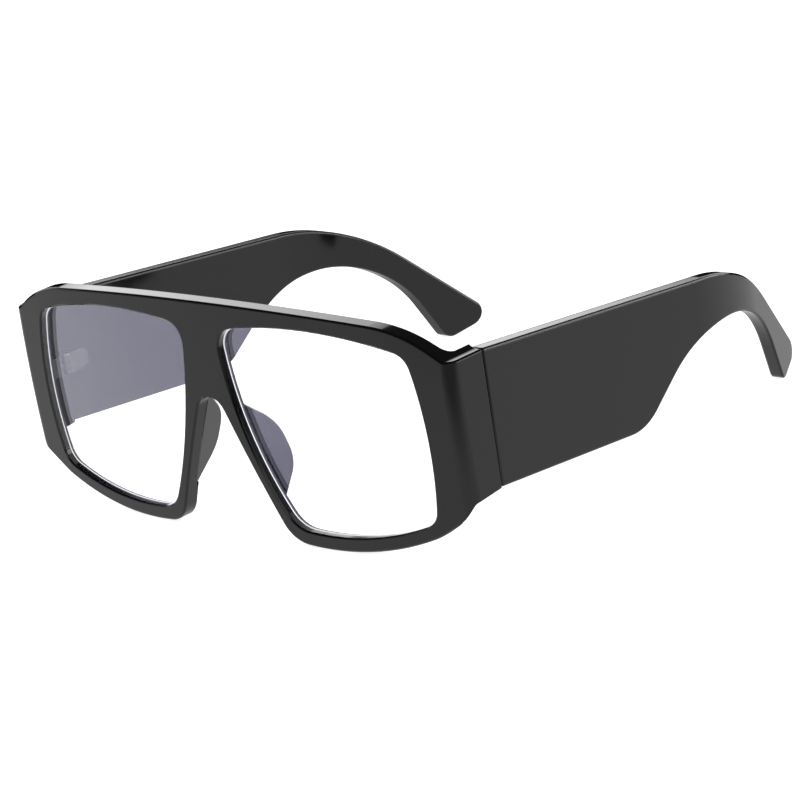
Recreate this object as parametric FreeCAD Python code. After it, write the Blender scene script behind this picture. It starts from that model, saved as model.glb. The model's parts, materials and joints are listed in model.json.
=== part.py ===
import FreeCAD, Part
import math
import os

# Oversized glasses: a one-piece front that wraps round the corners, two clear lenses in grooved
# rims, two cemented nose pads, and two wide temples on five-knuckle barrel hinges.
# Millimetres. X runs to the wearer's left, Y from the front to the ear hooks and Z up.
# The origin is on the floor, in the middle of the box round the open glasses.

Vector = FreeCAD.Vector

# Lens openings, as sharp corners that are rounded later
bridge_width = 11.6          # between the upper nasal corners
opening_width = 55.7         # from the upper nasal to the lower temporal corner
opening_height = 46.8        # from the lower to the upper nasal corner
opening_foot = 4.4           # lower nasal corner above the floor
nasal_flare = 14.8           # lower nasal corner further out than the upper one
temporal_lean = 1.2          # upper temporal corner further in than the lower one
brow_drop = 2.5              # upper temporal corner below the upper nasal one
foot_rise = 5.3              # lower temporal corner above the lower nasal one
opening_radius = 5.0
nasal_foot_radius = 7.5      # at the lower nasal corner
top_bow = 3.0                # how far each side of the opening bows outward
temporal_bow = 2.4
foot_bow = 2.8
nasal_bow = 3.1

# Front
rim_depth = 4.2              # front face to back face
base_radius = 400.0          # ball that the front face follows
ball_height = 37.0           # height of the ball's centre, which leans the face back at the bottom
front_to_joint = 17.2        # foremost point to the temple joint
end_piece_width = 10.9       # from the lower temporal corner to the outer side
end_piece_wall = 3.8
joint_top = 48.0             # of the end piece and the temple
joint_height = 32.3
corner_radius = 3.2
inner_corner_radius = 2.6
brow_rise = 6.4              # top of the brow above the upper nasal corners
brow_bow = 3.1
shoulder_run = 12.0          # shoulder of the brow in from the outer side
shoulder_radius = 35.0
brow_end_run = 2.2           # where the brow levels out, in from the outer side
brow_end_radius = 4.0
cheek_run = 10.4             # lower rim corner in from the outer side
cheek_foot = 6.3             # and above the floor
cheek_radius = 20.0
cheek_angle = 31.0           # degrees that the lower edge rises to the corner
jaw_place = 6.3              # joint to the jaw, in the view along the diagonal of the corner
jaw_angle = 51.0             # slope of the underside before the jaw
arm_droop = 7.7              # and after it, downward to the front
jaw_radius = 2.0
rim_foot_x = 18.3            # lower nasal corner of the rim
rim_foot_z = 1.0
rim_foot_radius = 8.0
foot_rim_bow = 3.07
nose_peak = 41.2             # where the two nasal edges would meet
nose_arch_radius = 4.75
edge_bevel = 0.4             # bevel that takes the edge off the rims and temples

# Lenses
lens_inset = 1.9             # lens face behind the front face
lens_thickness = 1.6
groove_depth = 0.8           # how far the lens edge enters its groove
lens_clearance = 0.05

# Nose pads
pad_thickness = 1.5
pad_reach = 7.4              # how far a pad stands behind the rim
pad_splay = 13.0             # degrees that a pad opens towards the cheek
pad_top = 33.5
pad_shoulder = 26.5
pad_heel = 17.5
pad_bottom = 9.5
pad_radius = 9.0
pad_seat_depth = 1.0         # how far a pad is let into the back of the rim
pad_bevel = 0.5
cement_gap = 0.05

# Temples
temple_length = 128.0        # joint to the end of the ear hook
temple_wall = 3.8
top_droop = 5.8              # degrees, downward to the back
bottom_droop = 4.7
temple_toe = 0.74            # degrees that the panel leans inward
hook_bend = 23.0             # degrees that the hook turns inward
hook_bend_radius = 70.0      # on the inside
hook_bend_place = 89.0       # joint to the middle of that bend
hook_back_angle = 45.0       # degrees below the horizontal
hook_front_angle = 63.4
hook_tip_width = 13.0        # between the sharp corners
hook_tip_slant = 16.0        # degrees that the tip rises to the back
hook_back_radius = 54.0
hook_front_radius = 31.0
hook_heel_radius = 3.6
hook_toe_radius = 2.4
arch_height = 27.7           # underside of the ear arch above the floor
taper_angle = 36.9
taper_radius = 36.0
panel_corner_radius = 14.0
arch_flat = 0.5              # straight length between the taper and the ear arch
butt_bevel = 0.3             # on the edges that meet at the joint
joint_gap = 0.16             # between the end piece and the butt of the temple

# Hinges
hinge_height = 30.3          # middle of the hinge above the floor
knuckle_count = 5
knuckle_length = 0.92
knuckle_radius = 1.3
knuckle_gap = 0.06           # between neighbouring knuckles
hinge_stand_off = 0.5        # axis inside the plastic's inner face
leaf_proud = 0.4             # leaf stands this far out of the plastic
leaf_thickness = 1.0
front_leaf_length = 5.4      # axis to the end of the leaf
temple_leaf_length = 7.0
front_leaf_radius = 0.3      # corners at the ends of the leaves
temple_leaf_radius = 2.0
tang_depth = 1.4             # anchor behind the leaf
tang_margin = 1.0            # anchor inside the leaf's edge
leaf_clearance = 0.03
knuckle_clearance = 0.3      # knuckles to the plastic and to the other leaf
screw_radius = 0.6
screw_clearance = 0.03
screw_head_radius = 1.1
screw_head_height = 0.5

# Places worked out from the sizes above
overall_depth = front_to_joint + temple_length
face_y = -overall_depth / 2
joint_y = face_y + front_to_joint
butt_y = joint_y + joint_gap
ball_centre = Vector(0, face_y + base_radius, ball_height)
nasal_x = bridge_width / 2
temporal_x = nasal_x + opening_width
side_x = temporal_x + end_piece_width
inner_x = side_x - end_piece_wall
opening_top = opening_foot + opening_height
brow_top = opening_top + brow_rise
joint_bottom = joint_top - joint_height
nasal_lean = rim_foot_x / (nose_peak - rim_foot_z)
pad_across = Vector(1, 0, nasal_lean).normalize()
pad_backward = Vector(0, 1, 0) + pad_across * math.tan(math.radians(pad_splay))
pad_inset = rim_depth - pad_seat_depth
corner_inward = Vector(-1, 1, 0).normalize()
corner_along = Vector(1, 1, 0).normalize()
hinge_x = inner_x - hinge_stand_off
hinge_y = joint_y + joint_gap / 2
plate_x = inner_x - leaf_proud
plate_start = knuckle_radius + knuckle_clearance
knuckle_pitch = knuckle_length + knuckle_gap
hinge_length = knuckle_count * knuckle_pitch - knuckle_gap
hinge_bottom = hinge_height - hinge_length / 2
hinge_top = hinge_bottom + hinge_length
room = 20.0                  # how far the cutting shapes reach past the part
sweep_angle = 24.0           # degrees that cover the height of the front
rounding_limit = 0.99        # the most of a side that its two roundings may take up


def front_view(x, z):
    return Vector(x, face_y - room, z)


def side_view(y, z):
    return Vector(0, y, z)


def plan_view(x, y):
    return Vector(x, y, -room)


def plate_view(y, z):
    return Vector(plate_x, y, z)


def diagonal_view(u, z):
    """Seen along the diagonal of the left corner, with u counted from the joint's outer edge."""
    return Vector(side_x, joint_y, z) + corner_along * u - corner_inward * room


def tangent(degrees):
    return math.tan(math.radians(degrees))


def meeting_point(first, first_slope, second, second_slope):
    """Where two sloping lines cross, each given by a point (u, v) and a slope."""
    rise = second[1] - first[1] + first_slope * first[0] - second_slope * second[0]
    u = rise / (first_slope - second_slope)
    return u, first[1] + first_slope * (u - first[0])


def overshoot(radius, first_angle, second_angle):
    """How far a sharp corner would stand out past its rounding. The angles are those of its two sides
    to the outermost tangent, in degrees."""
    base = radius * (tangent(first_angle / 2) + tangent(second_angle / 2))
    return base / (1 / tangent(first_angle) + 1 / tangent(second_angle))


def nearest_edge(solid, point):
    spot = Part.Vertex(point)
    return min(solid.Edges, key=lambda edge: edge.distToShape(spot)[0])


def bevelled(solid, points, size):
    """Bevel the smooth run of edges that passes each point."""
    for point in points:
        solid = solid.makeChamfer(size, [nearest_edge(solid, point)])
    return solid


def bevelled_butt(solid, y):
    """Bevel the edges of the end faces that meet at the joint."""
    ends = [face for face in solid.Faces if abs(face.CenterOfMass.y - y) < butt_bevel]
    return solid.makeChamfer(butt_bevel, [edge for face in ends for edge in face.Edges])


def mirrored(solid):
    return solid.mirror(Vector(0, 0, 0), Vector(1, 0, 0))


def fitted_radii(corners):
    """The radii of an outline's corners, made smaller where the sides are too short for them."""
    lengths = []
    starts = []
    ends = []
    curls = []
    for corner, following in zip(corners, corners[1:] + corners[:1]):
        length = math.dist(corner[:2], following[:2])
        heading = math.atan2(following[1] - corner[1], following[0] - corner[0])
        swing = 2 * math.atan(2 * corner[2] / length)
        lengths.append(length)
        starts.append(heading + swing)
        ends.append(heading - swing)
        curls.append(2 * math.sin(swing) / length)
    reaches = []
    for index, corner in enumerate(corners):
        turn = starts[index] - ends[index - 1]
        reach = corner[3] * abs(math.tan(turn / 2))
        turn -= (curls[index] + curls[index - 1]) * reach
        reaches.append(corner[3] * abs(math.tan(turn / 2)))
    shares = []
    for length, reach, next_reach in zip(lengths, reaches, reaches[1:] + reaches[:1]):
        most = rounding_limit * length
        shares.append(most / max(most, reach + next_reach))
    return [corner[3] * min(shares[index - 1], shares[index]) for index, corner in enumerate(corners)]


def prism(corners, place, depth):
    """Extrude a closed outline. A corner is (u, v, bow, radius): bow is how far the side to the next
    corner bows to its left, and radius rounds the corner."""
    sides = []
    for corner, following in zip(corners, corners[1:] + corners[:1]):
        u, v, bow = corner[:3]
        next_u, next_v = following[:2]
        start = place(u, v)
        end = place(next_u, next_v)
        if bow == 0:
            sides.append(Part.LineSegment(start, end).toShape())
            continue
        length = math.hypot(next_u - u, next_v - v)
        middle_u = (u + next_u) / 2 - bow * (next_v - v) / length
        middle_v = (v + next_v) / 2 + bow * (next_u - u) / length
        sides.append(Part.Arc(start, place(middle_u, middle_v), end).toShape())
    rounds = []
    for index, radius in enumerate(fitted_radii(corners)):
        if radius > 0:
            rounding = Part.ChFi2d.AnaFilletAlgo()
            rounding.init(sides[index - 1], sides[index], Part.Plane(place(0, 0), depth))
            rounding.perform(radius)
            arc, sides[index - 1], sides[index] = rounding.result()
            rounds.append(arc)
    outline = Part.Wire(Part.__sortEdges__(sides + rounds))
    return Part.Face(outline).extrude(depth)


def ball(inset):
    """The ball that the front face follows, made smaller by an inset from that face."""
    return Part.makeSphere(base_radius - inset, ball_centre)


def face_point(x, z, inset):
    """A point on the front face, or at an inset behind it, at a place in the front view."""
    radius = base_radius - inset
    return Vector(x, ball_centre.y - math.sqrt(radius ** 2 - x ** 2 - (z - ball_height) ** 2), z)


def opening_prism():
    """A straight cutter with the outline of the lens opening on the wearer's left."""
    corners = [
        (nasal_x, opening_top, top_bow, opening_radius),
        (temporal_x - temporal_lean, opening_top - brow_drop, temporal_bow, opening_radius),
        (temporal_x, opening_foot + foot_rise, foot_bow, opening_radius),
        (nasal_x + nasal_flare, opening_foot, nasal_bow, nasal_foot_radius),
    ]
    return prism(corners, front_view, Vector(0, overall_depth, 0))


def lens(growth):
    """The left lens, or the groove that holds its edge, which is larger all round by growth."""
    base = min(opening_prism().Faces, key=lambda face: face.CenterOfMass.y)
    outline = base.OuterWire.makeOffset2D(groove_depth + growth)
    body = Part.Face(outline).extrude(Vector(0, overall_depth, 0))
    return body.common(ball(lens_inset - growth)).cut(ball(lens_inset + lens_thickness + growth))


def front_prism():
    """A straight cutter with the outline of the whole front, running past the end pieces."""
    shoulder_x = side_x - shoulder_run
    shoulder_z = brow_top - brow_bow
    brow_end_x = side_x - brow_end_run
    cheek_x = side_x - cheek_run
    past_x = side_x + end_piece_wall
    past_bottom = cheek_foot + tangent(cheek_angle) * (past_x - cheek_x)
    corners = [
        (-shoulder_x, shoulder_z, brow_bow, shoulder_radius),
        (shoulder_x, shoulder_z, 0, shoulder_radius),
        (brow_end_x, joint_top, 0, brow_end_radius),
        (past_x, joint_top, 0, 0),
        (past_x, past_bottom, 0, 0),
        (cheek_x, cheek_foot, foot_rim_bow, cheek_radius),
        (rim_foot_x, rim_foot_z, 0, rim_foot_radius),
        (0, nose_peak, 0, nose_arch_radius),
        (-rim_foot_x, rim_foot_z, foot_rim_bow, rim_foot_radius),
        (-cheek_x, cheek_foot, 0, cheek_radius),
        (-past_x, past_bottom, 0, 0),
        (-past_x, joint_top, 0, 0),
        (-brow_end_x, joint_top, 0, brow_end_radius),
    ]
    return prism(corners, front_view, Vector(0, overall_depth, 0))


def jaw_prism():
    """A straight cutter that shapes the underside of the left end piece, square to its corner."""
    jaw_z = joint_bottom - tangent(arm_droop) * jaw_place
    corners = [
        (room, joint_bottom + tangent(arm_droop) * room, 0, 0),
        (room, -room, 0, 0),
        (-jaw_place - (jaw_z + room) / tangent(jaw_angle), -room, 0, 0),
        (-jaw_place, jaw_z, 0, jaw_radius),
    ]
    return prism(corners, diagonal_view, corner_inward * (2 * room))


def wrap_edges(inset, half_width, radius, back_y):
    """Section of one surface of the front, seen from above: two sides, two corners and the face."""
    face_radius = base_radius - inset
    corner_x = half_width - radius
    corner_y = -math.sqrt((face_radius - radius) ** 2 - corner_x ** 2)
    edges = []
    face_ends = []
    for way in (-1, 1):
        centre = Vector(way * corner_x, corner_y, 0)
        side = Vector(way * half_width, corner_y, 0)
        outward = Vector(centre).normalize()
        halfway = (outward + Vector(way, 0, 0)).normalize()
        edges.append(Part.LineSegment(Vector(way * half_width, back_y, 0), side).toShape())
        edges.append(Part.Arc(side, centre + halfway * radius, outward * face_radius).toShape())
        face_ends.append(outward * face_radius)
    edges.append(Part.Arc(face_ends[0], Vector(0, -face_radius, 0), face_ends[1]).toShape())
    return edges


def wrapped_shell():
    """The front before its outline is cut: its section turned about the ball's level axis."""
    back_y = joint_y + room - ball_centre.y
    edges = wrap_edges(0, side_x, corner_radius, back_y)
    edges += wrap_edges(rim_depth, inner_x, inner_corner_radius, back_y)
    for way in (-1, 1):
        outer_end = Vector(way * side_x, back_y, 0)
        edges.append(Part.LineSegment(outer_end, Vector(way * inner_x, back_y, 0)).toShape())
    section = Part.Face(Part.Wire(Part.__sortEdges__(edges)))
    section.rotate(Vector(0, 0, 0), Vector(1, 0, 0), -sweep_angle / 2)
    shell = section.revolve(Vector(0, 0, 0), Vector(1, 0, 0), sweep_angle)
    shell.translate(ball_centre)
    reach = 4 * side_x
    return shell.cut(Part.makeBox(reach, reach, reach, Vector(-reach / 2, joint_y, -reach / 2)))


def front_frame():
    """Both rims, the bridge and the end pieces in one piece. The underside is cut twice, roughly before the
    bevels and to its line after them, so that they run straight through that line."""
    opening = opening_prism()
    jaw = jaw_prism()
    rough_jaw = jaw.translated(corner_along * jaw_radius)
    cutters = [opening, mirrored(opening), rough_jaw, mirrored(rough_jaw)]
    front = wrapped_shell().common(front_prism()).cut(cutters)
    rim_x = (rim_foot_x + side_x - cheek_run) / 2
    points = []
    for inset in (0, rim_depth):
        points += [face_point(0, brow_top, inset), face_point(rim_x, 0, inset)]
        for x in (-nasal_x - opening_width / 2, nasal_x + opening_width / 2):
            points.append(face_point(x, opening_top + top_bow / 2, inset))
    front = bevelled(front, points, edge_bevel).cut([jaw, mirrored(jaw)])
    front = bevelled_butt(front, joint_y)
    pocket = leaf(front_leaf_length, front_leaf_radius, -1, 0, leaf_clearance)
    hollows = [lens(lens_clearance), pad_seat(), pocket, knuckle_relief()]
    return front.cut(hollows + [mirrored(hollow) for hollow in hollows])


def pad_point(z):
    """Where the nose side of the left pad leaves the nasal edge of the rim."""
    middle_z = (pad_top + pad_bottom) / 2
    seat = face_point(nasal_lean * (nose_peak - middle_z), middle_z, pad_inset)
    return Vector(nasal_lean * (nose_peak - z), seat.y, z)


def pad_wing(nose_side, growth):
    """The left pad's wing: a slab that stands back from the nasal edge and opens towards the cheek,
    cut to a round profile. It is thicker by nose_side, and larger by growth at its ends."""
    length = pad_seat_depth + pad_reach
    points = []
    for z in (pad_bottom - room, pad_top + room):
        points.append(pad_point(z) - pad_backward * rim_depth - pad_across * nose_side)
    points += [point + pad_across * (nose_side + pad_thickness + growth) for point in reversed(points)]
    slab = Part.Face(Part.makePolygon(points + points[:1])).extrude(pad_backward * (2 * rim_depth + length))
    front_y = pad_point(pad_top).y
    rear_y = front_y + length
    rim_y = front_y + pad_seat_depth
    profile = [
        (front_y - rim_depth, pad_top + growth, 0, 0),
        (rim_y, pad_top + growth, 0, 0),
        (rear_y, pad_shoulder, 0, pad_radius),
        (rear_y, pad_heel, 0, pad_radius),
        (rim_y, pad_bottom - growth, 0, 0),
        (front_y - rim_depth, pad_bottom - growth, 0, 0),
    ]
    return slab.common(prism(profile, side_view, Vector(side_x, 0, 0)))


def nose_pad():
    """The left nose pad, let into the back of the rim."""
    rear = pad_point((pad_shoulder + pad_heel) / 2) + pad_backward * (pad_seat_depth + pad_reach)
    pad = bevelled(pad_wing(0, 0), [rear, rear + pad_across * pad_thickness], pad_bevel)
    return pad.common(ball(pad_inset + cement_gap))


def pad_seat():
    return pad_wing(pad_thickness, cement_gap).common(ball(pad_inset))


def temple_side():
    """A straight cutter with the side view of the left temple: panel, taper, ear arch and hook."""
    heel_past = overshoot(hook_heel_radius, 90 - hook_back_angle, 90 - hook_tip_slant)
    toe_past = overshoot(hook_toe_radius, hook_tip_slant, hook_front_angle)
    top = (butt_y, joint_top)
    heel = (joint_y + temple_length + heel_past, tangent(hook_tip_slant) * hook_tip_width - toe_past)
    toe_y = heel[0] - hook_tip_width
    arch_back_y = toe_y - (arch_height + toe_past) / tangent(hook_front_angle)
    arch_run = hook_front_radius * tangent(hook_front_angle / 2) + taper_radius * tangent(taper_angle / 2)
    arch_front = (arch_back_y - arch_run - arch_flat, arch_height)
    bottom = (butt_y, joint_bottom)
    crown = meeting_point(top, -tangent(top_droop), heel, -tangent(hook_back_angle))
    panel_corner = meeting_point(bottom, -tangent(bottom_droop), arch_front, tangent(taper_angle))
    corners = [
        top + (0, 0),
        crown + (0, hook_back_radius),
        heel + (0, hook_heel_radius),
        (toe_y, -toe_past, 0, hook_toe_radius),
        (arch_back_y, arch_height, 0, hook_front_radius),
        arch_front + (0, taper_radius),
        panel_corner + (0, panel_corner_radius),
        bottom + (0, 0),
    ]
    return prism(corners, side_view, Vector(side_x + room, 0, 0))


def temple_plan():
    """A straight cutter with the plan of the left temple: a wall that leans in and bends at the hook."""
    lean = math.radians(temple_toe)
    turned = math.radians(temple_toe + hook_bend)
    along = Vector(-math.sin(lean), math.cos(lean), 0)
    after = Vector(-math.sin(turned), math.cos(turned), 0)
    joint = Vector(side_x, joint_y, 0)
    bend = joint + along * hook_bend_place
    halfway = (along + after).normalize()
    inner_bend = bend + Vector(-halfway.y, halfway.x, 0) * (temple_wall / halfway.dot(along))
    start = joint - along * room
    end = bend + after * temple_length
    inner_start = start + Vector(-along.y, along.x, 0) * temple_wall
    inner_end = end + Vector(-after.y, after.x, 0) * temple_wall
    corners = [
        (start.x, start.y, 0, 0),
        (bend.x, bend.y, 0, hook_bend_radius + temple_wall),
        (end.x, end.y, 0, 0),
        (inner_end.x, inner_end.y, 0, 0),
        (inner_bend.x, inner_bend.y, 0, hook_bend_radius),
        (inner_start.x, inner_start.y, 0, 0),
    ]
    return prism(corners, plan_view, Vector(0, 0, joint_top + 2 * room))


def temple():
    """The left temple, hollowed for its hinge leaf."""
    blank = temple_side().common(temple_plan())
    panel_z = joint_top - tangent(top_droop) * front_to_joint
    panel_y = butt_y + front_to_joint
    points = []
    for inset in (0, temple_wall):
        points.append(Vector(side_x - tangent(temple_toe) * front_to_joint - inset, panel_y, panel_z))
    blank = bevelled(blank, points, edge_bevel)
    blank = bevelled_butt(blank, butt_y)
    return blank.cut([leaf(temple_leaf_length, temple_leaf_radius, 1, 0, leaf_clearance), knuckle_relief()])


def leaf(length, end_radius, way, start, growth):
    """Plate and anchor of a left hinge leaf, or their pocket, which is larger by growth. The plate runs
    from start to length off the axis, to the front for way -1 and to the back for way 1."""
    near_y = hinge_y + way * start
    far_y = hinge_y + way * (length + growth)
    low = hinge_bottom - growth
    high = hinge_top + growth
    corners = [
        (near_y, low, 0, 0),
        (near_y, high, 0, 0),
        (far_y, high, 0, end_radius + growth),
        (far_y, low, 0, end_radius + growth),
    ]
    plate = prism(corners, plate_view, Vector(leaf_thickness + growth, 0, 0))
    tang_ends = [hinge_y + way * (plate_start + tang_margin - growth), far_y - way * tang_margin]
    corner = Vector(plate_x, min(tang_ends), low + tang_margin)
    tang_length = max(tang_ends) - min(tang_ends)
    tang_height = high - low - 2 * tang_margin
    tang = Part.makeBox(leaf_thickness + tang_depth + growth, tang_length, tang_height, corner)
    return plate.fuse(tang).removeSplitter()


def barrel(radius, low, high):
    return Part.makeCylinder(radius, high - low, Vector(hinge_x, hinge_y, low))


def knuckle_relief():
    """Room for the knuckles and the screw head where the plastic would touch them."""
    head_top = hinge_top + screw_head_height
    return barrel(plate_start, hinge_bottom - knuckle_clearance, head_top + knuckle_clearance)


def hinge_leaf(length, end_radius, way, first_knuckle):
    """A left hinge leaf with every second knuckle, counted from the bottom."""
    pieces = []
    for index in range(first_knuckle, knuckle_count, 2):
        low = hinge_bottom + index * knuckle_pitch
        neck_corner = Vector(plate_x, min(hinge_y, hinge_y + way * plate_start), low)
        pieces.append(barrel(knuckle_radius, low, low + knuckle_length))
        pieces.append(Part.makeBox(leaf_thickness, plate_start, knuckle_length, neck_corner))
    solid = leaf(length, end_radius, way, plate_start, 0).fuse(pieces).removeSplitter()
    return solid.cut(barrel(screw_radius + screw_clearance, hinge_bottom - room, hinge_top + room))


def hinge_screw():
    """A cheese-head screw through all the knuckles."""
    head = barrel(screw_head_radius, hinge_top, hinge_top + screw_head_height)
    return barrel(screw_radius, hinge_bottom, hinge_top).fuse(head).removeSplitter()


os.makedirs("parts", exist_ok=True)
front_frame().Solids[0].exportStep("parts/front_frame.step")
left_pieces = {
    "lens": lens(0),
    "nose_pad": nose_pad(),
    "temple": temple(),
    "front_hinge": hinge_leaf(front_leaf_length, front_leaf_radius, -1, 0),
    "temple_hinge": hinge_leaf(temple_leaf_length, temple_leaf_radius, 1, 1),
    "hinge_screw": hinge_screw(),
}
for name, piece in left_pieces.items():
    solid = piece.Solids[0]
    solid.exportStep(f"parts/{name}_left.step")
    mirrored(solid).exportStep(f"parts/{name}_right.step")
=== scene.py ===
import json
import math

import bpy
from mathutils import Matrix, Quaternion, Vector


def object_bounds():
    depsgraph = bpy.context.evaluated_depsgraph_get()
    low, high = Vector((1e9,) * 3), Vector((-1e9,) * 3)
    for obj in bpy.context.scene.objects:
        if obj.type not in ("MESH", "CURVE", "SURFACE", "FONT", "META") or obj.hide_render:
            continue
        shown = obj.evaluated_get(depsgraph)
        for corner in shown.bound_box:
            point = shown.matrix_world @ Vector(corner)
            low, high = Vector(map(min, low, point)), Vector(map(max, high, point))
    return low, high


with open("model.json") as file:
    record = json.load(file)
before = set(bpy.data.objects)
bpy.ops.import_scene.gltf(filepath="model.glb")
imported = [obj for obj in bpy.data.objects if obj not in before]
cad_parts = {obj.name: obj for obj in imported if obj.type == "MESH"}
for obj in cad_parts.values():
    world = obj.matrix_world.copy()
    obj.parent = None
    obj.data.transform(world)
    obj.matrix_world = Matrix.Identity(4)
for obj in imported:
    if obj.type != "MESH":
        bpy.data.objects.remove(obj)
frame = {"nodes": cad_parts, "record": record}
cad_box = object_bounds()
nodes = frame["nodes"]

# Camera, as solved from the photograph
photo_pixels = 800
focal_pixels = 3613.2
sensor_width = 36.0          # millimetres
near_clip = 0.01             # metres, as its place
camera_place = Vector((0.59847, -0.59461, 0.27656))
camera_azimuth = math.radians(45.768)
camera_elevation = math.radians(17.484)
camera_roll = math.radians(-8.961)

# Plastic. Lengths are in metres, and waves are per metre.
plastic_black = (0.004, 0.004, 0.0045, 1.0)
plastic_index = 1.5
polish_waves = 260.0
polish_detail = 4.0
polish_range = (0.05, 0.11)  # roughness
ripple_waves = 90.0
ripple_detail = 2.0
ripple_strength = 0.03
ripple_depth = 0.0002
front_edge_radius = 0.0003
temple_edge_radius = 0.0007
edge_samples = 8

# Lenses
lens_tint = (0.985, 0.985, 1.0, 1.0)
lens_index = 1.9
coating_level = 1.0
coating_tint = (0.66, 0.65, 1.0, 1.0)
# Painted highlight: the lenses glow, though they are no lamp, in a thin pale line close to the rim
painted_rim_glow_reach = 0.0006    # from the rim
painted_rim_glow_samples = 8
painted_rim_glow_tint = (0.9, 0.9, 1.0, 1.0)
painted_rim_glow_level = 0.9
painted_rim_glow_full = 0.6        # openness of the surface at which the painted glow is full
painted_rim_glow_none = 0.85       # and at which it has gone

# Metal
nickel_grey = (0.11, 0.11, 0.115, 1.0)
nickel_roughness = (0.25, 0.45)
steel_grey = (0.3, 0.3, 0.32, 1.0)
steel_roughness = (0.2, 0.4)
scratch_waves = 2500.0
scratch_detail = 6.0
metal_edge_radius = 0.0001

# Floor, in metres and in parts of white
floor_size = 6.0
floor_colour = (0.8, 0.8, 0.8, 1.0)
floor_glow = 0.85            # added to the floor where it is seen, so that it comes out white
lens_glow = 1.0              # and where it is seen through a lens
mirrored_floor = 0.77        # the floor in the reflections, near the object
mirrored_shade = 0.3         # and in front of it
shade_direction = (math.sin(camera_azimuth), -math.cos(camera_azimuth), 0.0)
shade_start = 0.14           # from the origin along that direction
shade_end = 0.23
far_shade_start = -0.16      # and against it, where the floor darkens to black
far_shade_end = -0.24

# Backdrop, in parts of white. Heights are the sines of the angles above the horizon.
backdrop_white = (1.0, 1.0, 1.0, 1.0)
sky_fill = 0.55
wall_foot = 0.118            # the mirrored backdrop brightens from here
wall_start = 0.145           # to here
wall_top = 0.34              # and darkens from here
ceiling_start = 0.5          # to here
mirrored_ceiling = 0.03

# Softboxes, in metres and watts
back_light_place = Vector((-0.82, 0.8, 0.477))
back_light_size = (1.6, 0.57)
back_light_power = 3.67
side_light_place = Vector((0.8, 0.85, 0.3))
side_light_size = (1.4, 0.6)
side_light_power = 10.0


def new_material(name):
    """An empty node material, with its nodes and links."""
    material = bpy.data.materials.new(name)
    material.use_nodes = True
    material.node_tree.nodes.clear()
    return material, material.node_tree.nodes, material.node_tree.links


def principled(node_list, links):
    """A principled shader joined to the material's output."""
    shader = node_list.new("ShaderNodeBsdfPrincipled")
    output = node_list.new("ShaderNodeOutputMaterial")
    links.new(shader.outputs["BSDF"], output.inputs["Surface"])
    return shader


def noise(node_list, links, waves, detail):
    """Fine noise in the object's own space."""
    place = node_list.new("ShaderNodeTexCoord")
    texture = node_list.new("ShaderNodeTexNoise")
    texture.inputs["Scale"].default_value = waves
    texture.inputs["Detail"].default_value = detail
    links.new(place.outputs["Object"], texture.inputs["Vector"])
    return texture.outputs["Fac"]


def spread(node_list, links, value, low, high, start=0.0, end=1.0):
    """Map a value between start and end onto a range."""
    mapping = node_list.new("ShaderNodeMapRange")
    mapping.inputs["From Min"].default_value = start
    mapping.inputs["From Max"].default_value = end
    mapping.inputs["To Min"].default_value = low
    mapping.inputs["To Max"].default_value = high
    links.new(value, mapping.inputs["Value"])
    return mapping.outputs["Result"]


def calculated(node_list, links, operation, first, second):
    """The result of a sum on two values."""
    sum_node = node_list.new("ShaderNodeMath")
    sum_node.operation = operation
    links.new(first, sum_node.inputs[0])
    links.new(second, sum_node.inputs[1])
    return sum_node.outputs["Value"]


def rounded_edges(node_list, radius):
    """A normal that turns round the edges."""
    rounding = node_list.new("ShaderNodeBevel")
    rounding.samples = edge_samples
    rounding.inputs["Radius"].default_value = radius
    return rounding.outputs["Normal"]


def frame_plastic(name, edge_radius):
    """Polished black plastic with a faint waviness and uneven gloss, rounded along its edges."""
    material, node_list, links = new_material(name)
    shader = principled(node_list, links)
    shader.inputs["Base Color"].default_value = plastic_black
    shader.inputs["IOR"].default_value = plastic_index
    polish = noise(node_list, links, polish_waves, polish_detail)
    links.new(spread(node_list, links, polish, *polish_range), shader.inputs["Roughness"])
    ripple = node_list.new("ShaderNodeBump")
    ripple.inputs["Strength"].default_value = ripple_strength
    ripple.inputs["Distance"].default_value = ripple_depth
    links.new(noise(node_list, links, ripple_waves, ripple_detail), ripple.inputs["Height"])
    links.new(rounded_edges(node_list, edge_radius), ripple.inputs["Normal"])
    links.new(ripple.outputs["Normal"], shader.inputs["Normal"])
    return material


def lens_glass():
    """Clear lens with a violet blue coating, and a painted highlight: the lens glows as a thin pale line
    where it meets its rim.
    """
    material, node_list, links = new_material("coated_lens")
    shader = principled(node_list, links)
    shader.inputs["Base Color"].default_value = lens_tint
    shader.inputs["Transmission Weight"].default_value = 1.0
    shader.inputs["Roughness"].default_value = 0.0
    shader.inputs["IOR"].default_value = lens_index
    shader.inputs["Specular IOR Level"].default_value = coating_level
    shader.inputs["Specular Tint"].default_value = coating_tint
    # Painted highlight: emission where the rim closes the surface in, drawn as a thin glowing line along
    # the rim
    openness = node_list.new("ShaderNodeAmbientOcclusion")
    openness.samples = painted_rim_glow_samples
    openness.inputs["Distance"].default_value = painted_rim_glow_reach
    painted_rim_glow = spread(node_list, links, openness.outputs["AO"], painted_rim_glow_level, 0.0,
                        painted_rim_glow_full, painted_rim_glow_none)
    shader.inputs["Emission Color"].default_value = painted_rim_glow_tint
    links.new(painted_rim_glow, shader.inputs["Emission Strength"])
    return material


def plated_metal(name, colour, roughness):
    """Plated metal with fine scratches in its gloss and broken edges."""
    material, node_list, links = new_material(name)
    shader = principled(node_list, links)
    shader.inputs["Base Color"].default_value = colour
    shader.inputs["Metallic"].default_value = 1.0
    scratches = noise(node_list, links, scratch_waves, scratch_detail)
    links.new(spread(node_list, links, scratches, *roughness), shader.inputs["Roughness"])
    links.new(rounded_edges(node_list, metal_edge_radius), shader.inputs["Normal"])
    return material


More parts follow.
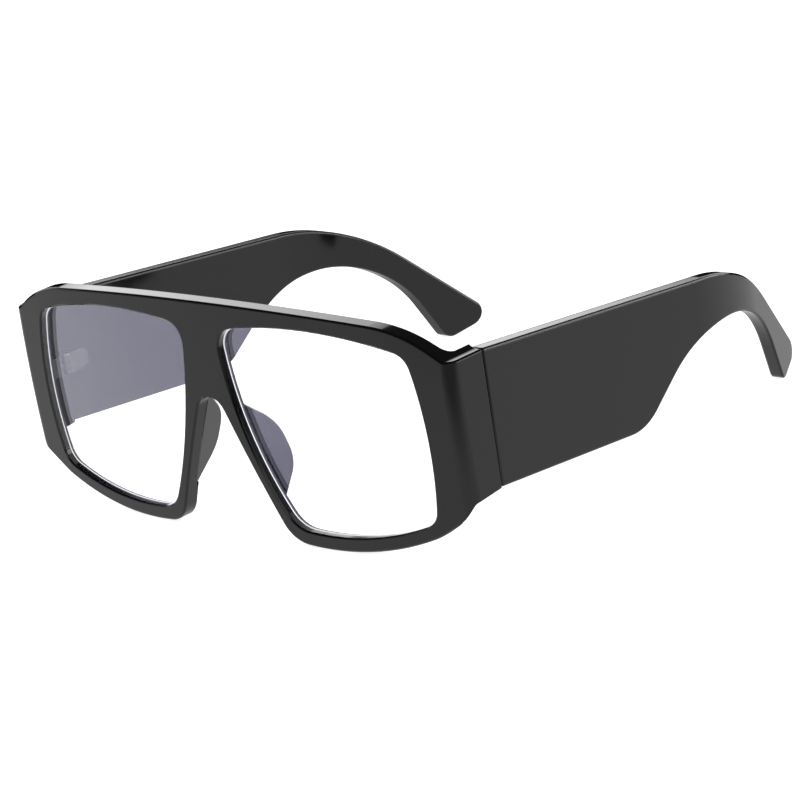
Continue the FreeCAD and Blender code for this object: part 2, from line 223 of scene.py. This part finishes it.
def dress_nodes():
    """Give every CAD node its finished material."""
    finishes = {
        "frame_plastic": frame_plastic("polished_black", front_edge_radius),
        "lens_glass": lens_glass(),
        "hinge_metal": plated_metal("dark_nickel", nickel_grey, nickel_roughness),
        "screw_metal": plated_metal("steel", steel_grey, steel_roughness),
    }
    for part in frame["record"]["subparts"]:
        nodes[part["node"]].data.materials[0] = finishes[part["material_slot"]]
    temple_plastic = frame_plastic("polished_black_temple", temple_edge_radius)
    for side in ("left", "right"):
        nodes["temple_" + side].data.materials[0] = temple_plastic
        nodes["lens_" + side].visible_shadow = False


def mirror_ray(node_list, links, path):
    """1 for a ray that a gloss sends on, and 0 for others. A ray through a lens counts as glossy too."""
    return calculated(node_list, links, "GREATER_THAN", path.outputs["Is Glossy Ray"],
                      path.outputs["Is Transmission Ray"])


def mirrored_floor_level(node_list, links):
    """How bright the floor is in the reflections: paler round the object than before and behind it."""
    place = node_list.new("ShaderNodeNewGeometry")
    along = node_list.new("ShaderNodeVectorMath")
    along.operation = "DOT_PRODUCT"
    along.inputs[1].default_value = shade_direction
    links.new(place.outputs["Position"], along.inputs[0])
    distance = along.outputs["Value"]
    level = spread(node_list, links, distance, mirrored_floor, mirrored_shade, shade_start, shade_end)
    far = spread(node_list, links, distance, 0.0, 1.0, far_shade_end, far_shade_start)
    return calculated(node_list, links, "MULTIPLY", level, far)


def make_floor():
    """A white floor that shows the object's shadow."""
    bpy.ops.mesh.primitive_plane_add(size=floor_size, location=(0.0, 0.0, cad_box[0].z))
    floor = bpy.context.object
    floor.name = "floor"
    material, node_list, links = new_material("floor_white")
    path = node_list.new("ShaderNodeLightPath")
    matte = node_list.new("ShaderNodeBsdfDiffuse")
    matte.inputs["Color"].default_value = floor_colour
    plain = spread(node_list, links, path.outputs["Is Camera Ray"], 0.0, floor_glow)
    through = spread(node_list, links, path.outputs["Is Transmission Ray"], 0.0, lens_glow)
    glow = node_list.new("ShaderNodeEmission")
    links.new(calculated(node_list, links, "MAXIMUM", plain, through), glow.inputs["Strength"])
    lit = node_list.new("ShaderNodeAddShader")
    links.new(matte.outputs["BSDF"], lit.inputs[0])
    links.new(glow.outputs["Emission"], lit.inputs[1])
    image = node_list.new("ShaderNodeEmission")
    links.new(mirrored_floor_level(node_list, links), image.inputs["Strength"])
    choice = node_list.new("ShaderNodeMixShader")
    links.new(mirror_ray(node_list, links, path), choice.inputs["Fac"])
    links.new(lit.outputs["Shader"], choice.inputs[1])
    links.new(image.outputs["Emission"], choice.inputs[2])
    output = node_list.new("ShaderNodeOutputMaterial")
    links.new(choice.outputs["Shader"], output.inputs["Surface"])
    floor.data.materials.append(material)


def make_world():
    """A plain fill, seen as white. Reflections show a white band under a dark ceiling."""
    world = bpy.data.worlds.new("studio")
    bpy.context.scene.world = world
    world.use_nodes = True
    node_list = world.node_tree.nodes
    links = world.node_tree.links
    background = node_list["Background"]
    background.inputs["Color"].default_value = backdrop_white
    path = node_list.new("ShaderNodeLightPath")
    place = node_list.new("ShaderNodeTexCoord")
    direction = node_list.new("ShaderNodeSeparateXYZ")
    links.new(place.outputs["Generated"], direction.inputs["Vector"])
    height = direction.outputs["Z"]
    upper = spread(node_list, links, height, 1.0, mirrored_ceiling, wall_top, ceiling_start)
    lower = spread(node_list, links, height, 0.0, 1.0, wall_foot, wall_start)
    wall = calculated(node_list, links, "MULTIPLY", upper, lower)
    glossy = mirror_ray(node_list, links, path)
    mirrored = calculated(node_list, links, "MULTIPLY", wall, glossy)
    seen = calculated(node_list, links, "MAXIMUM", path.outputs["Is Camera Ray"],
                      path.outputs["Is Transmission Ray"])
    filled = spread(node_list, links, glossy, sky_fill, 0.0)
    light = calculated(node_list, links, "MAXIMUM", seen, filled)
    links.new(calculated(node_list, links, "MAXIMUM", light, mirrored), background.inputs["Strength"])


def make_softbox(name, place, size, power):
    """A rectangular light that faces the middle of the object."""
    light = bpy.data.lights.new(name, "AREA")
    light.shape = "RECTANGLE"
    light.size, light.size_y = size
    light.energy = power
    lamp = bpy.data.objects.new(name, light)
    bpy.context.scene.collection.objects.link(lamp)
    middle = (cad_box[0] + cad_box[1]) / 2
    lamp.location = place
    lamp.rotation_mode = "QUATERNION"
    lamp.rotation_quaternion = (middle - place).to_track_quat("-Z", "Y")
    lamp.visible_camera = False


def make_camera():
    """A camera at the photograph's viewing angle."""
    data = bpy.data.cameras.new("camera")
    data.sensor_width = sensor_width
    data.lens = focal_pixels / photo_pixels * sensor_width
    data.clip_start = near_clip
    camera = bpy.data.objects.new("camera", data)
    bpy.context.scene.collection.objects.link(camera)
    level = math.cos(camera_elevation)
    forward = Vector((0.0, 0.0, -math.sin(camera_elevation)))
    forward.x = -math.sin(camera_azimuth) * level
    forward.y = math.cos(camera_azimuth) * level
    roll = Quaternion((0.0, 0.0, 1.0), camera_roll)
    camera.location = camera_place
    camera.rotation_mode = "QUATERNION"
    camera.rotation_quaternion = forward.to_track_quat("-Z", "Y") @ roll
    bpy.context.scene.camera = camera


dress_nodes()
make_floor()
make_world()
make_softbox("back", back_light_place, back_light_size, back_light_power)
make_softbox("side", side_light_place, side_light_size, side_light_power)
make_camera()
bpy.context.scene.view_settings.view_transform = "Standard"
